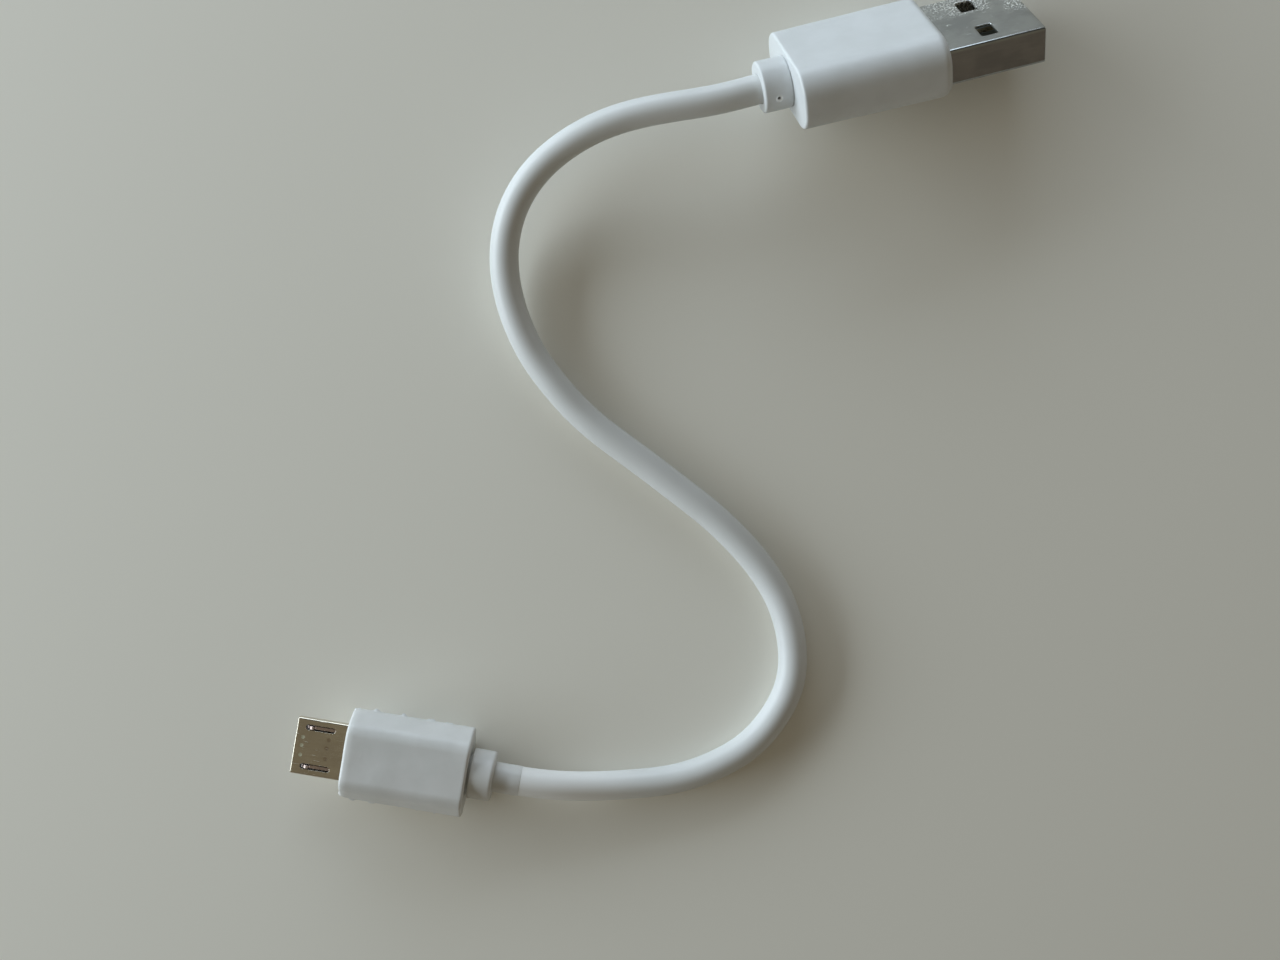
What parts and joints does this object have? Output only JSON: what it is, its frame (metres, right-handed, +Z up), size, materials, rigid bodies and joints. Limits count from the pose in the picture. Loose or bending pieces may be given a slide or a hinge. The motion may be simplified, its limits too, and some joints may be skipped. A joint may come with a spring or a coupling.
{
  "type": "charging cable",
  "caption": "Short white charging cable with a USB-A plug and a micro-B plug, lying in a loose S, with sprung latches.",
  "frame": {"origin": "On the table under the middle of the two plugs' box", "axes": "+Z up from the table, +X and +Y right and up in a view from above with the micro-B plug at lower left and the USB-A plug at upper right"},
  "size_m": [0.0893, 0.0999, 0.0148],
  "materials": {
    "white_grip": "satin moulded PVC",
    "cable_jacket": "soft satin PVC",
    "inner_moulding": "plain polyethylene",
    "steel_shell": "nickel-plated sheet, lightly scuffed",
    "latch_steel": "spring steel",
    "insulator": "glass-filled nylon",
    "contact_gold": "flash gold",
    "solder": "dull solder",
    "foil": "aluminium foil",
    "tinned_wire": "tinned copper strands",
    "copper_core": "bare copper strands",
    "red_insulation": "wire insulation",
    "white_insulation": "wire insulation",
    "green_insulation": "wire insulation",
    "black_insulation": "wire insulation"
  },
  "bodies": {
    "cable_and_plugs": {"a_overmould": "white_grip", "a_inner_mould": "inner_moulding", "a_shell": "steel_shell", "a_insulator": "insulator", "a_contact_vbus": "contact_gold", "a_contact_data_minus": "contact_gold", "a_contact_data_plus": "contact_gold", "a_contact_ground": "contact_gold", "a_solder": "solder", "cable": "cable_jacket", "jacket_ends": "cable_jacket", "foil_shield_ends": "foil", "drain_wire_ends": "tinned_wire", "copper_core_ends": "copper_core", "red_wire_ends": "red_insulation", "white_wire_ends": "white_insulation", "green_wire_ends": "green_insulation", "black_wire_ends": "black_insulation", "micro_overmould": "white_grip", "micro_inner_mould": "inner_moulding", "micro_shell": "steel_shell", "micro_insulator": "insulator", "micro_latch_roots": "latch_steel", "micro_contact_tails": "contact_gold", "micro_solder": "solder"},
    "latch_left": {"latch_left": "latch_steel"},
    "latch_right": {"latch_right": "latch_steel"},
    "contact_spring_1": {"contact_spring_1": "contact_gold"},
    "contact_spring_2": {"contact_spring_2": "contact_gold"},
    "contact_spring_3": {"contact_spring_3": "contact_gold"},
    "contact_spring_4": {"contact_spring_4": "contact_gold"},
    "contact_spring_5": {"contact_spring_5": "contact_gold"}
  },
  "joints": [
    {"name": "latch_left_press", "type": "hinge", "parent": "cable_and_plugs", "child": "latch_left", "pos_m": [-0.03554, -0.04515, 0.004], "axis": [-0.165, -0.9863, 0], "range_deg": [0, 3.3], "stiffness_Nm_per_rad": 0.1},
    {"name": "latch_right_press", "type": "hinge", "parent": "cable_and_plugs", "child": "latch_right", "pos_m": [-0.03476, -0.04051, 0.004], "axis": [-0.165, -0.9863, 0], "range_deg": [0, 3.3], "stiffness_Nm_per_rad": 0.1},
    {"name": "contact_1_dip", "type": "hinge", "parent": "cable_and_plugs", "child": "contact_spring_1", "pos_m": [-0.03912, -0.04348, 0.00315], "axis": [-0.165, -0.9863, 0], "range_deg": [0, 2], "stiffness_Nm_per_rad": 0.02},
    {"name": "contact_2_dip", "type": "hinge", "parent": "cable_and_plugs", "child": "contact_spring_2", "pos_m": [-0.03901, -0.04284, 0.00315], "axis": [-0.165, -0.9863, 0], "range_deg": [0, 2], "stiffness_Nm_per_rad": 0.02},
    {"name": "contact_3_dip", "type": "hinge", "parent": "cable_and_plugs", "child": "contact_spring_3", "pos_m": [-0.0389, -0.0422, 0.00315], "axis": [-0.165, -0.9863, 0], "range_deg": [0, 2], "stiffness_Nm_per_rad": 0.02},
    {"name": "contact_4_dip", "type": "hinge", "parent": "cable_and_plugs", "child": "contact_spring_4", "pos_m": [-0.03879, -0.04156, 0.00315], "axis": [-0.165, -0.9863, 0], "range_deg": [0, 2], "stiffness_Nm_per_rad": 0.02},
    {"name": "contact_5_dip", "type": "hinge", "parent": "cable_and_plugs", "child": "contact_spring_5", "pos_m": [-0.03869, -0.04092, 0.00315], "axis": [-0.165, -0.9863, 0], "range_deg": [0, 2], "stiffness_Nm_per_rad": 0.02}
  ]
}
